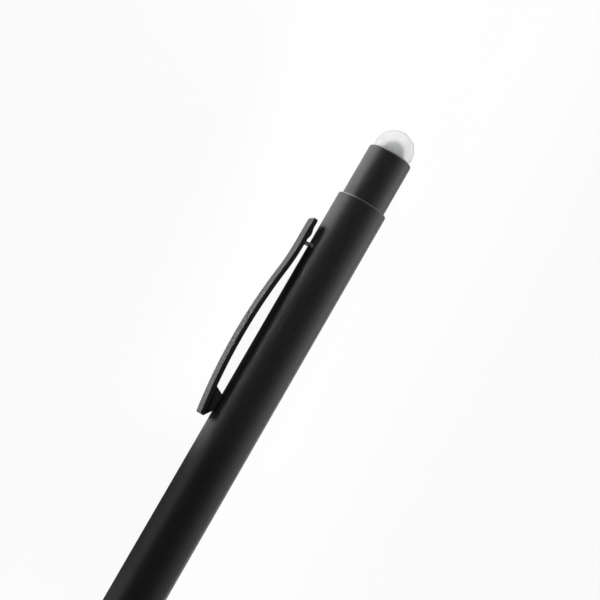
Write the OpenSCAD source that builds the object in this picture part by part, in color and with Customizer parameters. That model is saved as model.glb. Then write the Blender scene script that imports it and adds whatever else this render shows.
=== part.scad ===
// Click-action ballpoint pen with a rubber stylus dome, in millimetres.
// The pen is drawn along its own Z axis, writing end at 0 and clip towards +Y,
// then laid along X as it comes to rest on a table: on the barrel and on one edge of the clip.

/* [Barrel] */
// outside diameter of the barrel
barrel_d = 10; // [9.8:0.1:11]
// wall of the barrel tube
barrel_wall = 0.5; // [0.4:0.05:0.6]
// chamfer around the barrel's open rim
rim_chamfer = 0.12; // [0.05:0.01:0.2]

/* [Nose cone] */
// length of the cone in front of the barrel
nose_len = 21; // [19:0.5:23]
// diameter of the cone's front face
nose_tip_d = 3.6; // [3.4:0.1:4.2]
// chamfer around the cone's front face
nose_edge = 0.25; // [0.1:0.05:0.4]
// wall of the bush that takes the screw spigot
bush_wall = 0.63; // [0.5:0.01:0.7]
// length of the screw spigot
spigot_len = 9; // [7:0.5:11]
// distance from the front face to the spring's seat
seat_depth = 4; // [3.6:0.1:4.4]

/* [Refill] */
// length of the refill from ball to end
refill_len = 98; // [94:0.5:102]
// diameter of the ink tube
refill_d = 5.9; // [5.6:0.05:6]
// wall of the ink tube
refill_wall = 0.25; // [0.2:0.01:0.3]
// diameter of the refill's neck
neck_d = 2.5; // [2.3:0.05:2.6]
// length from ball to shoulder
neck_len = 12; // [11.5:0.1:12.5]
// diameter of the writing ball
ball_d = 1; // [0.8:0.05:1.1]
// how far the ball sits behind the nose at rest
tip_recess = 1.5; // [1:0.1:2]

/* [Return spring] */
// diameter of the spring wire
wire_d = 0.4; // [0.3:0.02:0.46]
// number of coils
coils = 7; // [5:1:8]
// outside diameter of the coils
spring_d = 4.3; // [4:0.05:4.4]

/* [Click mechanism] */
// full travel of the button
travel = 5.5; // [5:0.1:6]
// length of the rotor above the refill
rotor_len = 7; // [6.5:0.1:8]
// diameter of the rotor's and the stem's round core
core_d = 5.4; // [5.2:0.05:5.5]
// height of the fins and splines on the core
fin_h = 0.6; // [0.45:0.05:0.7]
// width of the grooves in the housing
groove_w = 2.1; // [1.9:0.05:2.2]
// height of the crown teeth
tooth_h = 1; // [0.7:0.05:1.2]
// length of the splines on the stem
spline_len = 4.5; // [4:0.1:6]
// thickness of the housing's end wall
end_wall = 1.5; // [1.3:0.1:2]

/* [Button] */
// length of the button that stands out of the barrel
button_out = 10.8; // [9:0.1:13]
// length of the button inside the barrel
button_in = 4.4; // [3.8:0.1:6]
// wall of the button sleeve
button_wall = 0.5; // [0.4:0.05:0.6]
// rounding of the button's end
button_round = 0.4; // [0.2:0.05:0.5]
// thickness of the lip that holds the dome
lip_t = 0.8; // [0.6:0.05:1]

/* [Stylus dome] */
// diameter of the dome
dome_d = 7.74; // [7.5:0.02:7.9]
// height of the dome's centre above the button's end
dome_lift = 1.19; // [0.9:0.01:1.5]
// wall of the dome
dome_wall = 0.95; // [0.7:0.05:1.1]
// thickness of the dome's flange
flange_t = 0.9; // [0.7:0.05:1.2]

/* [Clip] */
// width of the clip
clip_w = 4.6; // [4.2:0.1:4.8]
// depth of the clip's folded sides
clip_depth = 0.9; // [0.8:0.05:1]
// thickness of the clip's sheet
clip_sheet = 0.4; // [0.3:0.05:0.45]
// clip above its foot
clip_above = 4.6; // [4.4:0.1:6]
// clip below its foot
clip_below = 37.1; // [35:0.1:42]
// height of the clip's back over the barrel at the foot
clip_stand = 2.15; // [2:0.05:2.4]
// greatest height of the clip's back over the barrel
clip_rise = 3.46; // [3:0.02:4]
// distance of that height below the foot
clip_peak = 20.8; // [19:0.1:23]
// radius of the clip's corners seen from its back
clip_corner = 0.5; // [0.3:0.05:2]
// width of the beak
beak_w = 2.4; // [1.6:0.1:3]
// start of the beak above the clip's lower end
beak_from = 6.3; // [5.8:0.1:7]
// length of the beak's bearing face
beak_pad = 3; // [2:0.1:4]
// largest angle that the clip opens to, in degrees
clip_open = 5; // [3:0.5:5.5]

/* [Fits] */
// radial gap of the sliding parts
slide_gap = 0.1; // [0.06:0.01:0.12]
// gap of the parts that are pressed together and of the writing ball in its socket
press_gap = 0.02; // [0.01:0.005:0.04]
// radial gap of the screw spigot and of the clip's bead in its pocket
run_gap = 0.05; // [0.02:0.01:0.08]
// gap between the clip's beak and the barrel
beak_gap = 0.04; // [0.02:0.01:0.1]

/* [Hidden] */
$fn = 64;
cut = 1;

// Radii that are shared by pieces that fit together
barrel_r = barrel_d / 2;
bore_r = barrel_r - barrel_wall;
button_r = bore_r - slide_gap;
button_bore_r = button_r - button_wall;
core_r = core_d / 2;
fin_r = core_r + fin_h;
rib_r = core_r + slide_gap;
groove_r = fin_r + slide_gap;
refill_r = refill_d / 2;
refill_bore_r = refill_r - refill_wall;
neck_r = neck_d / 2;
neck_bore_r = neck_r - refill_wall;
ball_r = ball_d / 2;

// Refill, from the ball to the rotor's seat
refill_play = 0.2;
shoulder_z = tip_recess + neck_len;
shoulder_chamfer = 0.8;
refill_end_z = tip_recess + refill_len;
cap_head = 3.5;
cap_plug = 2.5;
cap_hole_r = 1.65;
cap_hole_depth = 3;
cap_notch = 0.9;
tube_end_z = refill_end_z - cap_head;

// Point and ball
ball_z = tip_recess + ball_r;
point_front_z = tip_recess + 0.6 * ball_r;
point_front_r = ball_r + 0.06;
point_cone_len = 2.4;
point_collar_len = 1.2;
point_shank_len = 2.5;
ink_channel_r = 0.3;

// Nose cone, with its back line an arc that is tangent to the barrel
ogive_dr = barrel_r - nose_tip_d / 2;
ogive_r = (nose_len * nose_len + ogive_dr * ogive_dr) / (2 * ogive_dr);
nose_hole_r = neck_r + slide_gap;
spring_bore_r = spring_d / 2 + refill_play;
refill_bore_z = shoulder_z - travel - refill_play;
refill_way_r = refill_r + refill_play;
spigot_r = bore_r - press_gap - bush_wall - run_gap;
bush_len = spigot_len + 1;

// Click mechanism, from the refill's end upwards
stations = 4;
half_turn = 180 / stations;
teeth = 2 * stations;
tooth_w = 2 * PI * core_r / teeth;
rotor_top_z = refill_end_z + rotor_len;
fin_len = 4;
fin_slope = 1.2;
peg_r = cap_hole_r - 0.15;
peg_len = cap_hole_depth - 0.5;
pilot_r = 1.2;
pilot_len = 3;
crown_z = rotor_top_z + tooth_h / 2 + press_gap;
spline_z = crown_z + 0.5;
spline_top_z = spline_z + spline_len;
wall_z = spline_top_z + slide_gap;
housing_top_z = wall_z + end_wall;
clear_press = travel - 0.5;
rib_end_z = rotor_top_z - clear_press;
housing_z = rotor_top_z - fin_len - travel - 2;
saw_w = PI * groove_r / stations;

// Button and dome, from the housing upwards
stop_gap = 0.5;
button_z = housing_top_z + travel + stop_gap;
rim_z = button_z + button_in;
button_top_z = rim_z + button_out;
lip_z = button_top_z - lip_t;
neck_step = 0.6;
dome_neck_r = button_bore_r - neck_step;
dome_r = dome_d / 2;
dome_z = button_top_z + dome_lift;
total_len = dome_z + dome_r;
dome_bore_r = dome_neck_r - dome_wall;
flange_z = lip_z - flange_t;
holder_t = 1.6;
holder_z = flange_z - holder_t;
holder_post = dome_z - flange_z - 0.3;
post_shoulder = 0.2;
holder_spigot_r = 2.4;
holder_spigot_len = 3;
plug_z = button_z + 0.6;
plug_bore_len = 8;

// Clip and its foot; heights are distances from the pen's axis
foot_below_top = 1.3;
foot_z = housing_top_z - foot_below_top;
foot_t = 0.35;
foot_w = clip_w - 2 * clip_sheet - 0.2;
foot_tongue = 4;
bead_r = 0.35;
bead_y = sqrt(bore_r * bore_r - foot_w * foot_w / 4) - bead_r - 0.15;
foot_swing = (barrel_r - bead_y) * sin(clip_open);
slot_h = foot_t + 2 * foot_swing + 2 * slide_gap;
slot_w = foot_w + 2 * slide_gap;
stand_r = barrel_r + clip_stand;
peak_r = barrel_r + clip_rise;
flat_below = 1;
bump_h = 0.25;
bump_at = 1.6;
bump_half = 1.4;
clip_step = 1;
inner_corner = 0.1;
beak_lead = 1.4;

// The clip's back is flat at the foot, then a hollow and a crowned arc that are tangent to each other
rise = peak_r - stand_r;
run = clip_peak - flat_below;
arc_sum = (run * run + rise * rise) / (2 * rise);
crown_share = 0.73;
crown_arc = crown_share * arc_sum;
hollow_arc = arc_sum - crown_arc;
turn_at = clip_peak - crown_share * run;
function back(u) =
    u > -flat_below ? stand_r :
    u > -turn_at ? stand_r + hollow_arc - sqrt(pow(hollow_arc, 2) - pow(u + flat_below, 2)) :
    peak_r - crown_arc + sqrt(pow(crown_arc, 2) - pow(u + clip_peak, 2));
function bump(u) = abs(u - bump_at) < bump_half ? bump_h * pow(cos(90 * (u - bump_at) / bump_half), 2) : 0;
function side(u) = back(u) - clip_depth - bump(u);

// Roll of the pen on the table: the barrel and the clip's lower back edge touch it together
corner_reach = sqrt(peak_r * peak_r + clip_w * clip_w / 4);
corner_angle = atan(clip_w / 2 / peak_r);
roll = asin(barrel_r / corner_reach) - corner_angle;
clip_reach = peak_r * cos(roll) + clip_w / 2 * sin(roll);
axis_y = (barrel_r - clip_reach) / 2;

// Lays the pen down along X, writing end towards -X
module laid() {
    translate([-total_len / 2, axis_y, barrel_r])
        rotate([-roll, 0, 0])
            rotate([0, 90, 0])
                children();
}

// Round bar or bore between two heights
module rod(r, z0, z1) {
    translate([0, 0, z0]) cylinder(r = r, h = z1 - z0);
}

// Piece turned from a half section of points [radius, z]
module turned(outline) {
    rotate_extrude() polygon(outline);
}

// Plate cut from an outline of points [z, y], as wide as w across the clip
module across(w) {
    rotate([0, -90, 0]) linear_extrude(height = w, center = true) children();
}

module barrel() {
    color("#17171a") laid() difference() {
        turned([
            [bore_r, nose_len], [barrel_r, nose_len],
            [barrel_r, rim_z - rim_chamfer], [barrel_r - rim_chamfer, rim_z], [bore_r, rim_z]
        ]);
        translate([-slot_w / 2, 0, foot_z - slot_h / 2]) cube([slot_w, barrel_d, slot_h]);
    }
}

module thread_bush() {
    color("#b8923f") laid() difference() {
        rod(bore_r - press_gap, nose_len, nose_len + bush_len);
        rod(spigot_r + run_gap, nose_len - cut, nose_len + bush_len + cut);
    }
}

// Half section of the nose cone: everything under the ogive arc, in front of the barrel
module nose_outline() {
    face_r = nose_tip_d / 2 - nose_edge;
    back_z = nose_len - press_gap;
    intersection() {
        translate([barrel_r - ogive_r, nose_len]) circle(r = ogive_r, $fn = 720);
        polygon([[0, 0], [face_r, 0], [face_r + back_z, back_z], [0, back_z]]);
    }
}

module nose_cone() {
    color("#17171a") laid() difference() {
        union() {
            rotate_extrude() nose_outline();
            rod(spigot_r, nose_len - cut, nose_len + spigot_len);
        }
        rod(nose_hole_r, -cut, seat_depth + cut);
        rod(spring_bore_r, seat_depth, refill_bore_z + cut);
        rod(refill_way_r, refill_bore_z, nose_len + spigot_len + cut);
    }
}

// Bars across the core at the four stations, trimmed to a round of radius r
module keys(w, r, z0, z1) {
    intersection() {
        rod(r, z0, z1);
        for (i = [0 : stations - 1]) {
            rotate([0, 0, half_turn + i * 360 / stations])
                translate([0, -w / 2, z0])
                    cube([barrel_d, w, z1 - z0]);
        }
    }
}

// Saw-cut rib ends: each slope lifts a fin into the next station
module saw_cuts() {
    intersection() {
        rod(groove_r, rib_end_z - cut, rib_end_z + fin_slope + cut);
        for (i = [0 : teeth - 1]) {
            rotate([0, 0, (i + 0.5) * 360 / teeth])
                rotate([90, 0, 90])
                    linear_extrude(height = barrel_d)
                        polygon([[-saw_w / 2, rib_end_z - cut], [saw_w / 2, rib_end_z - cut],
                                 [saw_w / 2, rib_end_z + fin_slope], [-saw_w / 2, rib_end_z]]);
        }
    }
}

module cam_housing() {
    color("#e4e0d4") laid() difference() {
        rod(bore_r - press_gap, housing_z, housing_top_z);
        rod(groove_r, housing_z - cut, rib_end_z);
        rod(rib_r, housing_z - cut, housing_top_z + cut);
        keys(groove_w, groove_r, rib_end_z - cut, wall_z);
        saw_cuts();
        foot_pocket();
    }
}

// Pocket that takes the bead of the clip's foot, open towards the housing's top
module foot_pocket() {
    pocket_r = bead_r + run_gap;
    translate([-slot_w / 2, bead_y, foot_z]) rotate([0, 90, 0]) cylinder(r = pocket_r, h = slot_w);
    translate([-slot_w / 2, bead_y - pocket_r, foot_z]) cube([slot_w, barrel_r, foot_below_top + cut]);
    translate([-slot_w / 2, bead_y, foot_z - pocket_r]) cube([slot_w, barrel_r, pocket_r + cut]);
}

// Outline of the clip seen from its back, drawn in from its edges
module clip_plan(inset) {
    r = max(clip_corner - inset, inner_corner);
    w = clip_w / 2 - inset - r;
    low = foot_z - clip_below + inset + r;
    high = foot_z + clip_above - inset - r;
    translate([-w - r, low]) square([2 * (w + r), high - low]);
    translate([-w, low - r]) square([2 * w, high - low + 2 * r]);
    for (x = [-w, w]) {
        for (z = [low, high]) {
            translate([x, z]) circle(r = r);
        }
    }
}

// Stations along the clip, from its top to its lower end
steps = ceil((clip_above + clip_below) / clip_step * 2);
stops = [for (i = [0 : steps]) clip_above - i * (clip_above + clip_below) / steps];

// Slab under the clip's back, as deep as its folded sides
module clip_blank() {
    across(clip_w) polygon(concat(
        [for (u = stops) [foot_z + u, back(u)]],
        [for (i = [steps : -1 : 0]) [foot_z + stops[i], side(stops[i])]]
    ));
}

// Space under the sheet, from its inner face to the barrel
module clip_hollow() {
    across(clip_w) polygon(concat(
        [for (u = stops) [foot_z + u, back(u) - clip_sheet]],
        [[foot_z - clip_below, barrel_r - cut], [foot_z + clip_above, barrel_r - cut]]
    ));
}

module clip_beak() {
    pad_r = barrel_r + beak_gap;
    low = foot_z - clip_below;
    across(beak_w) polygon([
        [low + beak_from, back(-clip_below + beak_from) - clip_sheet / 2],
        [low + beak_from - beak_lead, pad_r],
        [low + beak_from - beak_lead - beak_pad, pad_r],
        [low, side(-clip_below)],
        [low, back(-clip_below) - clip_sheet / 2]
    ]);
}

// Everything under that outline, seen from the clip's back
module clip_stamp(inset) {
    rotate([90, 0, 0]) linear_extrude(height = 4 * barrel_d, center = true) clip_plan(inset);
}

module clip() {
    color("#1b1b1e") laid() intersection() {
        clip_stamp(0);
        union() {
            difference() {
                clip_blank();
                intersection() {
                    clip_hollow();
                    clip_stamp(clip_sheet);
                }
            }
            clip_beak();
        }
    }
}

module clip_foot() {
    tongue_r = stand_r - clip_sheet;
    color("#b4b6ba") laid() union() {
        translate([-foot_w / 2, bead_y, foot_z]) rotate([0, 90, 0]) cylinder(r = bead_r, h = foot_w);
        translate([-foot_w / 2, bead_y, foot_z - foot_t / 2]) cube([foot_w, tongue_r - bead_y, foot_t]);
        translate([-foot_w / 2, tongue_r - foot_t, foot_z - foot_t / 2]) cube([foot_w, foot_t, foot_tongue]);
    }
}

module button_sleeve() {
    inner = button_r - button_round;
    color("#17171a") laid() difference() {
        union() {
            rod(button_r, button_z, button_top_z - button_round);
            rod(inner, button_z, button_top_z);
            translate([0, 0, button_top_z - button_round])
                rotate_extrude()
                    translate([inner, 0])
                        circle(r = button_round);
        }
        rod(button_bore_r, button_z - cut, lip_z);
        rod(dome_neck_r + press_gap, lip_z - cut, button_top_z + cut);
    }
}

module stylus_dome() {
    color("#f4f3ef") laid() difference() {
        union() {
            intersection() {
                translate([0, 0, dome_z]) sphere(r = dome_r);
                rod(dome_d, button_top_z, total_len + cut);
            }
            rod(dome_neck_r, flange_z, button_top_z + dome_lift);
            rod(button_bore_r - press_gap, flange_z, lip_z - press_gap);
        }
        translate([0, 0, dome_z]) sphere(r = dome_r - dome_wall);
        rod(dome_bore_r, flange_z - cut, dome_z);
    }
}

module dome_holder() {
    post_r = dome_bore_r - press_gap;
    color("#33353a") laid() union() {
        rod(button_bore_r - press_gap, holder_z, flange_z - press_gap);
        rod(post_r, holder_z, flange_z + holder_post);
        translate([0, 0, flange_z + holder_post]) sphere(r = post_r - post_shoulder);
        rod(holder_spigot_r, holder_z - holder_spigot_len, holder_z + press_gap);
    }
}

// V-shaped notches that leave a ring of teeth, pointing up from z (way 1) or down from z (way -1)
module crown_cuts(z, way) {
    for (i = [0 : teeth - 1]) {
        rotate([0, 0, (i + 0.25 * way) * 360 / teeth])
            rotate([90, 0, 90])
                linear_extrude(height = barrel_d)
                    polygon([[-tooth_w / 2, z], [0, z - way * tooth_h], [tooth_w / 2, z],
                             [tooth_w / 2, z + way * cut], [-tooth_w / 2, z + way * cut]]);
    }
}

module thrust_stem() {
    plug_top_z = holder_z - press_gap;
    color("#2f6f8f") laid() union() {
        difference() {
            rod(core_r, crown_z - tooth_h, plug_z + cut);
            crown_cuts(crown_z - tooth_h, -1);
        }
        rod(pilot_r, rotor_top_z - pilot_len, crown_z);
        keys(groove_w - 2 * slide_gap, fin_r, spline_z, spline_top_z);
        difference() {
            rod(button_bore_r - press_gap, plug_z, plug_top_z);
            rod(holder_spigot_r + press_gap, plug_top_z - plug_bore_len, plug_top_z + cut);
        }
    }
}

// Slanted tops of the rotor's fins, parallel to the housing's rib ends
module fin_tops() {
    half = groove_w / 2;
    for (i = [0 : stations - 1]) {
        rotate([0, 0, half_turn + i * 360 / stations])
            rotate([90, 0, 90])
                translate([0, 0, core_r - press_gap])
                    linear_extrude(height = barrel_d)
                        polygon([[-half, rotor_top_z - fin_slope], [half, rotor_top_z],
                                 [half, rotor_top_z + cut], [-half, rotor_top_z + cut]]);
    }
}

module rotor() {
    color("#c8553d") laid() difference() {
        union() {
            rod(core_r, refill_end_z, rotor_top_z);
            difference() {
                keys(groove_w - 2 * slide_gap, fin_r, rotor_top_z - fin_len, rotor_top_z);
                fin_tops();
            }
            rod(peg_r, refill_end_z - peg_len, refill_end_z + cut);
        }
        crown_cuts(rotor_top_z, 1);
        rod(pilot_r + slide_gap, rotor_top_z - pilot_len - 0.5, rotor_top_z + cut);
    }
}

// Spring wire swept along a helix, as rings of points joined into one closed tube
sides = 6;
rings_per_coil = 8;
wire_r = wire_d / 2;
coil_r = spring_d / 2 - wire_r;
spring_low = seat_depth + wire_r + press_gap;
spring_high = shoulder_z - wire_r - press_gap;
ring_count = coils * rings_per_coil;
lead_angle = atan((spring_high - spring_low) / (coils * 2 * PI * coil_r));
function wire_at(i) = [
    coil_r * cos(360 * i / rings_per_coil),
    coil_r * sin(360 * i / rings_per_coil),
    spring_low + (spring_high - spring_low) * i / ring_count
];
function wire_ring(i) = let (turn = 360 * i / rings_per_coil) [
    for (k = [0 : sides - 1])
        let (out = wire_r * cos(360 * k / sides), up = wire_r * sin(360 * k / sides))
        wire_at(i) + out * [cos(turn), sin(turn), 0]
            + up * [sin(turn) * sin(lead_angle), -cos(turn) * sin(lead_angle), cos(lead_angle)]
];
wire_gap = min([
    for (i = [0 : ring_count]) for (j = [i + rings_per_coil / 2 : 1 : ring_count])
        norm(wire_at(i) - wire_at(j))
]) - wire_d;
echo(str("least gap of the spring to itself: ", wire_gap, " mm"));

module return_spring() {
    points = [for (i = [0 : ring_count]) each wire_ring(i)];
    walls = [
        for (i = [0 : ring_count - 1]) for (k = [0 : sides - 1])
            let (a = i * sides + k, b = i * sides + (k + 1) % sides)
            each [[a, a + sides, b], [b, a + sides, b + sides]]
    ];
    first = [for (k = [0 : sides - 1]) k];
    last = [for (k = [sides - 1 : -1 : 0]) ring_count * sides + k];
    color("#c9ccd1") laid() polyhedron(points = points, faces = concat(walls, [first], [last]));
}

module refill_tube() {
    neck_z = point_front_z + point_cone_len + point_collar_len;
    step_z = shoulder_z + refill_wall;
    color("#b9bcc0") laid() turned([
        [neck_bore_r, neck_z], [neck_r, neck_z], [neck_r, shoulder_z],
        [refill_r - shoulder_chamfer, shoulder_z], [refill_r, shoulder_z + shoulder_chamfer],
        [refill_r, tube_end_z], [refill_bore_r, tube_end_z], [refill_bore_r, step_z + shoulder_chamfer],
        [refill_bore_r - shoulder_chamfer, step_z], [neck_bore_r, step_z]
    ]);
}

module refill_point() {
    cone_z = point_front_z + point_cone_len;
    collar_z = cone_z + point_collar_len;
    shank_z = collar_z + point_shank_len;
    shank_r = neck_bore_r - press_gap;
    color("#c7b37a") laid() difference() {
        turned([
            [0, point_front_z], [point_front_r, point_front_z], [neck_r, cone_z], [neck_r, collar_z],
            [shank_r, collar_z], [shank_r, shank_z], [0, shank_z]
        ]);
        translate([0, 0, ball_z]) sphere(r = ball_r + press_gap);
        rod(ink_channel_r, ball_z, shank_z + cut);
    }
}

module writing_ball() {
    color("#a8abb0") laid() translate([0, 0, ball_z]) sphere(r = ball_r);
}

module refill_end_cap() {
    color("#3a6ea8") laid() difference() {
        union() {
            rod(refill_r, tube_end_z + press_gap, refill_end_z);
            rod(refill_bore_r - press_gap, tube_end_z - cap_plug, tube_end_z + cut);
        }
        rod(cap_hole_r, refill_end_z - cap_hole_depth, refill_end_z + cut);
        for (turn = [0, 90]) {
            rotate([0, 0, turn])
                translate([-refill_d, -cap_notch / 2, refill_end_z - cap_notch])
                    cube([2 * refill_d, cap_notch, cap_notch + cut]);
        }
    }
}

module ink() {
    ink_z = shoulder_z + refill_wall + shoulder_chamfer + press_gap;
    ink_end_z = tube_end_z - cap_plug - cap_head;
    color("#101830") laid() rod(refill_bore_r - press_gap, ink_z, ink_end_z);
}

barrel();
thread_bush();
nose_cone();
cam_housing();
clip();
clip_foot();
button_sleeve();
stylus_dome();
dome_holder();
thrust_stem();
rotor();
return_spring();
refill_tube();
refill_point();
writing_ball();
refill_end_cap();
ink();
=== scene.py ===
"""Looks of the ballpoint pen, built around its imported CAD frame.

Shapes are written in millimetres in the pen's own frame: z runs along the axis from the writing end,
y points to the clip. PEN lays that frame down on the table, in metres.
"""
import math

import bmesh
import bpy
from mathutils import Matrix, Vector


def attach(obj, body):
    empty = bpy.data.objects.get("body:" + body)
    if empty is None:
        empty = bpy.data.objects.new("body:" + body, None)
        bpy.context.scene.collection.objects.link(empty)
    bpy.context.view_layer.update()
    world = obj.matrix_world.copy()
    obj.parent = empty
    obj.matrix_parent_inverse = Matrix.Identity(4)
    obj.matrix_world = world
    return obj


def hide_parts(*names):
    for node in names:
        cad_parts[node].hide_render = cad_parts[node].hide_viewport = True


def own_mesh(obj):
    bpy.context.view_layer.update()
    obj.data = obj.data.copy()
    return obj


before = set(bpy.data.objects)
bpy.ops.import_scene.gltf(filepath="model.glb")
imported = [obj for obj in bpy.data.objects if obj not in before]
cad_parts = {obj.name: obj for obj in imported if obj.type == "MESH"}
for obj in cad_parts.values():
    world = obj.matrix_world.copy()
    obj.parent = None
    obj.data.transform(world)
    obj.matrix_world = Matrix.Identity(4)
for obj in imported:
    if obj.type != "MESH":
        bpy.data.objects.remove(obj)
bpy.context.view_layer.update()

MM = 0.001

# Sizes shared with the CAD source: barrel
BARREL_R = 5.0
BORE_R = 4.5
RIM_Z = 124.02
RIM_ROUND = 0.2
SLOT_W = 3.8
SLOT_H = 0.79

# Nose cone, its screw spigot and the bush that takes it
NOSE_LEN = 21.0
NOSE_TIP_R = 1.8
NOSE_EDGE = 0.25
NOSE_HOLE_R = 1.35
SEAT_Z = 4.0
SPRING_BORE_R = 2.35
REFILL_WAY_Z = 7.8
REFILL_WAY_R = 3.15
SPIGOT_R = 3.8
SPIGOT_LEN = 9.0
BUSH_R = 4.48
BUSH_BORE_R = 3.85
BUSH_LEN = 10.0

# Button and stylus dome
BUTTON_R = 4.4
BUTTON_BORE_R = 3.9
BUTTON_Z = 119.62
BUTTON_TOP_Z = 134.82
BUTTON_ROUND = 0.4
LIP_Z = 134.02
DOME_NECK_R = 3.3
DOME_R = 3.87
DOME_Z = 136.01
DOME_WALL = 0.95
FLANGE_T = 0.9

# Clip and its foot; places along the clip are counted from the foot
CLIP_HALF_W = 2.3
CLIP_DEPTH = 0.9
CLIP_SHEET = 0.4
CLIP_CORNER = 0.5
CLIP_LOW = -37.1
CLIP_HIGH = 4.6
CLIP_STAND_R = 7.15
CLIP_PEAK_R = 8.46
CLIP_PEAK = 20.8
CLIP_FLAT = 1.0
CROWN_SHARE = 0.73
BUMP_H = 0.25
BUMP_AT = 1.6
BUMP_HALF = 1.4
BEAK_HALF_W = 1.2
BEAK_FROM = 6.3
BEAK_LEAD = 1.4
BEAK_PAD = 3.0
BEAK_R = 5.04
FOOT_Z = 112.32
FOOT_T = 0.35
FOOT_W = 3.6
FOOT_TONGUE = 4.0
BEAD_Y = 3.62432
BEAD_R = 0.35

# Refill, writing ball and spring
REFILL_R = 2.95
REFILL_BORE_R = 2.7
REFILL_WALL = 0.25
SHOULDER_Z = 13.5
SHOULDER_CHAMFER = 0.8
TUBE_END_Z = 96.0
NECK_R = 1.25
NECK_BORE_R = 1.0
NECK_Z = 5.4
POINT_FRONT_Z = 1.8
POINT_FRONT_R = 0.56
POINT_CONE = 2.4
POINT_COLLAR = 1.2
POINT_SHANK = 2.5
BALL_R = 0.5
BALL_Z = 2.0
WIRE_R = 0.2
COIL_R = 1.95
COILS = 7
SPRING_LOW = 4.22
SPRING_HIGH = 13.28

# The pen's place: it lies on the barrel and one edge of the clip
TOTAL_LEN = 139.88
AXIS_Y = -1.87089
ROLL = math.radians(19.563)
PEN = (
    Matrix.Translation((-TOTAL_LEN / 2 * MM, AXIS_Y * MM, BARREL_R * MM))
    @ Matrix.Rotation(-ROLL, 4, "X")
    @ Matrix.Rotation(math.radians(90), 4, "Y")
)


# Mesh helpers

ON_AXIS = 1e-6


def piece(name, mesh, body, replaces, material, smooth_deg=32):
    """Object for a finished bmesh in the pen's frame, riding a body in a CAD node's place."""
    bmesh.ops.recalc_face_normals(mesh, faces=mesh.faces)
    data = bpy.data.meshes.new(name)
    mesh.transform(PEN @ Matrix.Scale(MM, 4))
    mesh.to_mesh(data)
    mesh.free()
    data.polygons.foreach_set("use_smooth", [True] * len(data.polygons))
    data.set_sharp_from_angle(angle=math.radians(smooth_deg))
    data.materials.append(material)
    obj = bpy.data.objects.new(name, data)
    bpy.context.scene.collection.objects.link(obj)
    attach(obj, body)
    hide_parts(*replaces)
    return obj


def arc(centre, radius, start_deg, end_deg, steps):
    """Points along an arc, from one angle to the other."""
    turns = [math.radians(start_deg + (end_deg - start_deg) * k / steps) for k in range(steps + 1)]
    return [(centre[0] + radius * math.cos(a), centre[1] + radius * math.sin(a)) for a in turns]


def quarter_turn(steps):
    return [math.pi / 2 * k / steps for k in range(steps + 1)]


def even_angles(count):
    return [2 * math.pi * i / count for i in range(count)]


def rounded(corners, steps=4, support=0.06):
    """Closed half section with its corners rounded: each corner is (r, z) or (r, z, radius).

    Long straight stretches get a supporting point next to each round.
    """
    out = []
    count = len(corners)
    for i, corner in enumerate(corners):
        here = Vector(corner[:2])
        radius = corner[2] if len(corner) > 2 else 0
        before = Vector(corners[i - 1][:2]) - here
        after = Vector(corners[(i + 1) % count][:2]) - here
        if radius <= 0:
            out.append(here)
            continue
        half = before.angle(after) / 2
        reach = radius / math.tan(half)
        a, b = before.normalized(), after.normalized()
        centre = here + (a + b).normalized() * radius / math.sin(half)
        start, end = here + a * reach - centre, here + b * reach - centre
        sweep = start.angle_signed(end)
        if before.length > 2 * (reach + support):
            out.append(here + a * (reach + support))
        for k in range(steps + 1):
            turn = -sweep * k / steps
            out.append(centre + Matrix.Rotation(turn, 2) @ start)
        if after.length > 2 * (reach + support):
            out.append(here + b * (reach + support))
    return [(p.x, p.y) for p in out]


def inset_outline(points, inset):
    """Closed outline moved in by inset along the mean of its sides' normals."""
    if not inset:
        return points
    area = sum(a[0] * b[1] - b[0] * a[1] for a, b in zip(points, points[1:] + points[:1]))
    sign = 1 if area > 0 else -1
    out = []
    for i, p in enumerate(points):
        a = (Vector(p) - Vector(points[i - 1])).normalized()
        b = (Vector(points[(i + 1) % len(points)]) - Vector(p)).normalized()
        d = (a + b).normalized()
        out.append((p[0] - sign * d.y * inset, p[1] + sign * d.x * inset))
    return out


def circle_points(mesh, r, z, angles):
    return [mesh.verts.new((-r * math.sin(a), r * math.cos(a), z)) for a in angles]


def skin(mesh, rings, closed):
    """Quads between rings of equal length, and between the last and the first if closed."""
    pairs = list(zip(rings, rings[1:])) + ([(rings[-1], rings[0])] if closed else [])
    for low, high in pairs:
        for i in range(len(low)):
            j = (i + 1) % len(low)
            corners = list(dict.fromkeys((low[i], low[j], high[j], high[i])))
            if len(corners) > 2:
                mesh.faces.new(corners)


def turned(section, count=96, closed=True):
    """Piece turned from a half section; points on the axis become single vertices."""
    mesh = bmesh.new()
    rings = []
    for r, z in section:
        if r < ON_AXIS:
            rings.append([mesh.verts.new((0, 0, z))] * count)
        else:
            rings.append(circle_points(mesh, r, z, even_angles(count)))
    skin(mesh, rings, closed)
    return mesh


# Screw thread: half width of its ridge as a share of the pitch, and its height before the crest is cut flat
THREAD_PITCH = 0.75
THREAD_ROWS = 10
RIDGE_HALF = 0.42
RIDGE_UNCUT = 1.15


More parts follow.
